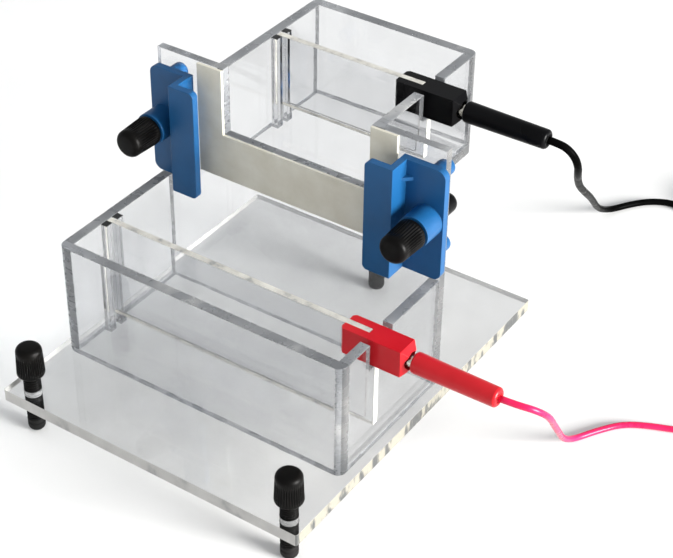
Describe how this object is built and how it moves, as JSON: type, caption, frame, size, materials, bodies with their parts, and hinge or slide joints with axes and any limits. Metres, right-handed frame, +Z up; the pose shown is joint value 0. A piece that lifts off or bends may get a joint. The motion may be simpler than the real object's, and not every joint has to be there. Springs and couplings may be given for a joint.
{
  "type": "gel electrophoresis tank",
  "caption": "Clear acrylic vertical gel electrophoresis tank with upper and lower buffer chambers, clamped gel panel, lift-out electrodes, plug leads and levelling screws.",
  "frame": {"origin": "on the table, under the middle of the tank's bounding box without its leads and plugs", "axes": "+X across the tanks towards the electrode holders, +Y from the lower tank to the upper tank, +Z up"},
  "size_m": [0.3122, 0.383, 0.1474],
  "materials": {
    "clear_acrylic": "clear cast acrylic, polished faces, sawn and solvent-bonded edges",
    "gasket_foam": "matt cream silicone foam",
    "platinum": "bright drawn wire",
    "steel": "threaded stainless steel",
    "brass": "turned brass",
    "nickel": "nickel-plated brass",
    "red_plastic": "satin moulded red plastic",
    "black_plastic": "satin moulded black plastic",
    "blue_plastic": "satin moulded blue plastic",
    "knob_plastic": "knurled black plastic",
    "stud_nylon": "black threaded nylon",
    "foot_rubber": "black rubber",
    "red_lead": "glossy pinkish red silicone",
    "black_lead": "glossy black silicone"
  },
  "bodies": {
    "tank": {"base_plate": "clear_acrylic", "lower_front_wall": "clear_acrylic", "lower_left_wall": "clear_acrylic", "lower_right_wall": "clear_acrylic", "gel_panel": "clear_acrylic", "panel_gasket": "gasket_foam", "upper_floor": "clear_acrylic", "upper_rear_wall": "clear_acrylic", "upper_left_wall": "clear_acrylic", "upper_right_wall": "clear_acrylic", "lower_card_guides": "clear_acrylic", "upper_card_guides": "clear_acrylic", "left_clamp_stud": "steel", "left_clamp_washer": "black_plastic", "left_clamp_nut": "black_plastic", "right_clamp_stud": "steel", "right_clamp_washer": "black_plastic", "right_clamp_nut": "black_plastic", "red_coil": "red_lead", "red_tail": "red_lead", "red_far_sleeve": "red_plastic", "red_far_pin": "nickel", "black_coil": "black_lead", "black_tail": "black_lead", "black_far_sleeve": "black_plastic", "black_far_pin": "nickel"},
    "lower_electrode": {"lower_card": "clear_acrylic", "lower_wire": "platinum", "red_holder": "red_plastic", "red_socket": "brass", "red_plug_pin": "nickel", "red_plug_sleeve": "red_plastic", "red_lead": "red_lead"},
    "upper_electrode": {"upper_card": "clear_acrylic", "upper_wire": "platinum", "black_holder": "black_plastic", "black_socket": "brass", "black_plug_pin": "nickel", "black_plug_sleeve": "black_plastic", "black_lead": "black_lead"},
    "left_jaw": {"left_clamp_jaw": "blue_plastic"},
    "left_knob": {"left_clamp_knob": "knob_plastic", "left_knob_insert": "brass"},
    "right_jaw": {"right_clamp_jaw": "blue_plastic"},
    "right_knob": {"right_clamp_knob": "knob_plastic", "right_knob_insert": "brass"},
    "front_left_foot_pad": {"front_left_foot": "foot_rubber"},
    "front_left_screw": {"front_left_stud": "stud_nylon", "front_left_knob": "knob_plastic"},
    "front_right_foot_pad": {"front_right_foot": "foot_rubber"},
    "front_right_screw": {"front_right_stud": "stud_nylon", "front_right_knob": "knob_plastic"},
    "rear_foot_pad": {"rear_foot": "foot_rubber"},
    "rear_screw": {"rear_stud": "stud_nylon", "rear_knob": "knob_plastic"}
  },
  "joints": [
    {"name": "lower_electrode_lift", "type": "slide", "parent": "tank", "child": "lower_electrode", "axis": [0, 0, 1], "range_m": [0, 0.055]},
    {"name": "upper_electrode_lift", "type": "slide", "parent": "tank", "child": "upper_electrode", "axis": [0, 0, 1], "range_m": [0, 0.045]},
    {"name": "left_jaw_slide", "type": "slide", "parent": "tank", "child": "left_jaw", "axis": [0, -1, 0], "range_m": [0, 0.006]},
    {"name": "left_knob_turn", "type": "hinge", "parent": "left_jaw", "child": "left_knob", "pos_m": [-0.0751, 0.0015, 0.1135], "axis": [0, -1, 0], "range_deg": [0, 2150]},
    {"name": "right_jaw_slide", "type": "slide", "parent": "tank", "child": "right_jaw", "axis": [0, -1, 0], "range_m": [0, 0.006]},
    {"name": "right_knob_turn", "type": "hinge", "parent": "right_jaw", "child": "right_knob", "pos_m": [0.0645, 0.0015, 0.1135], "axis": [0, -1, 0], "range_deg": [0, 2150]},
    {"name": "front_left_foot_slide", "type": "slide", "parent": "tank", "child": "front_left_foot_pad", "axis": [0, 0, 1], "range_m": [-0.007, 0.008]},
    {"name": "front_left_screw_turn", "type": "hinge", "parent": "front_left_foot_pad", "child": "front_left_screw", "pos_m": [-0.0756, -0.0878, 0], "axis": [0, 0, 1], "range_deg": [-2010, 2300]},
    {"name": "front_right_foot_slide", "type": "slide", "parent": "tank", "child": "front_right_foot_pad", "axis": [0, 0, 1], "range_m": [-0.007, 0.008]},
    {"name": "front_right_screw_turn", "type": "hinge", "parent": "front_right_foot_pad", "child": "front_right_screw", "pos_m": [0.065, -0.0878, 0], "axis": [0, 0, 1], "range_deg": [-2010, 2300]},
    {"name": "rear_foot_slide", "type": "slide", "parent": "tank", "child": "rear_foot_pad", "axis": [0, 0, 1], "range_m": [-0.007, 0.008]},
    {"name": "rear_screw_turn", "type": "hinge", "parent": "rear_foot_pad", "child": "rear_screw", "pos_m": [-0.0053, 0.0878, 0], "axis": [0, 0, 1], "range_deg": [-2010, 2300]}
  ],
  "couplings": [
    {"joint": "left_jaw_slide", "follows": "left_knob_turn", "m_per_rad": 0.00015915},
    {"joint": "right_jaw_slide", "follows": "right_knob_turn", "m_per_rad": 0.00015915},
    {"joint": "front_left_foot_slide", "follows": "front_left_screw_turn", "m_per_rad": 0.00019894},
    {"joint": "front_right_foot_slide", "follows": "front_right_screw_turn", "m_per_rad": 0.00019894},
    {"joint": "rear_foot_slide", "follows": "rear_screw_turn", "m_per_rad": 0.00019894}
  ]
}
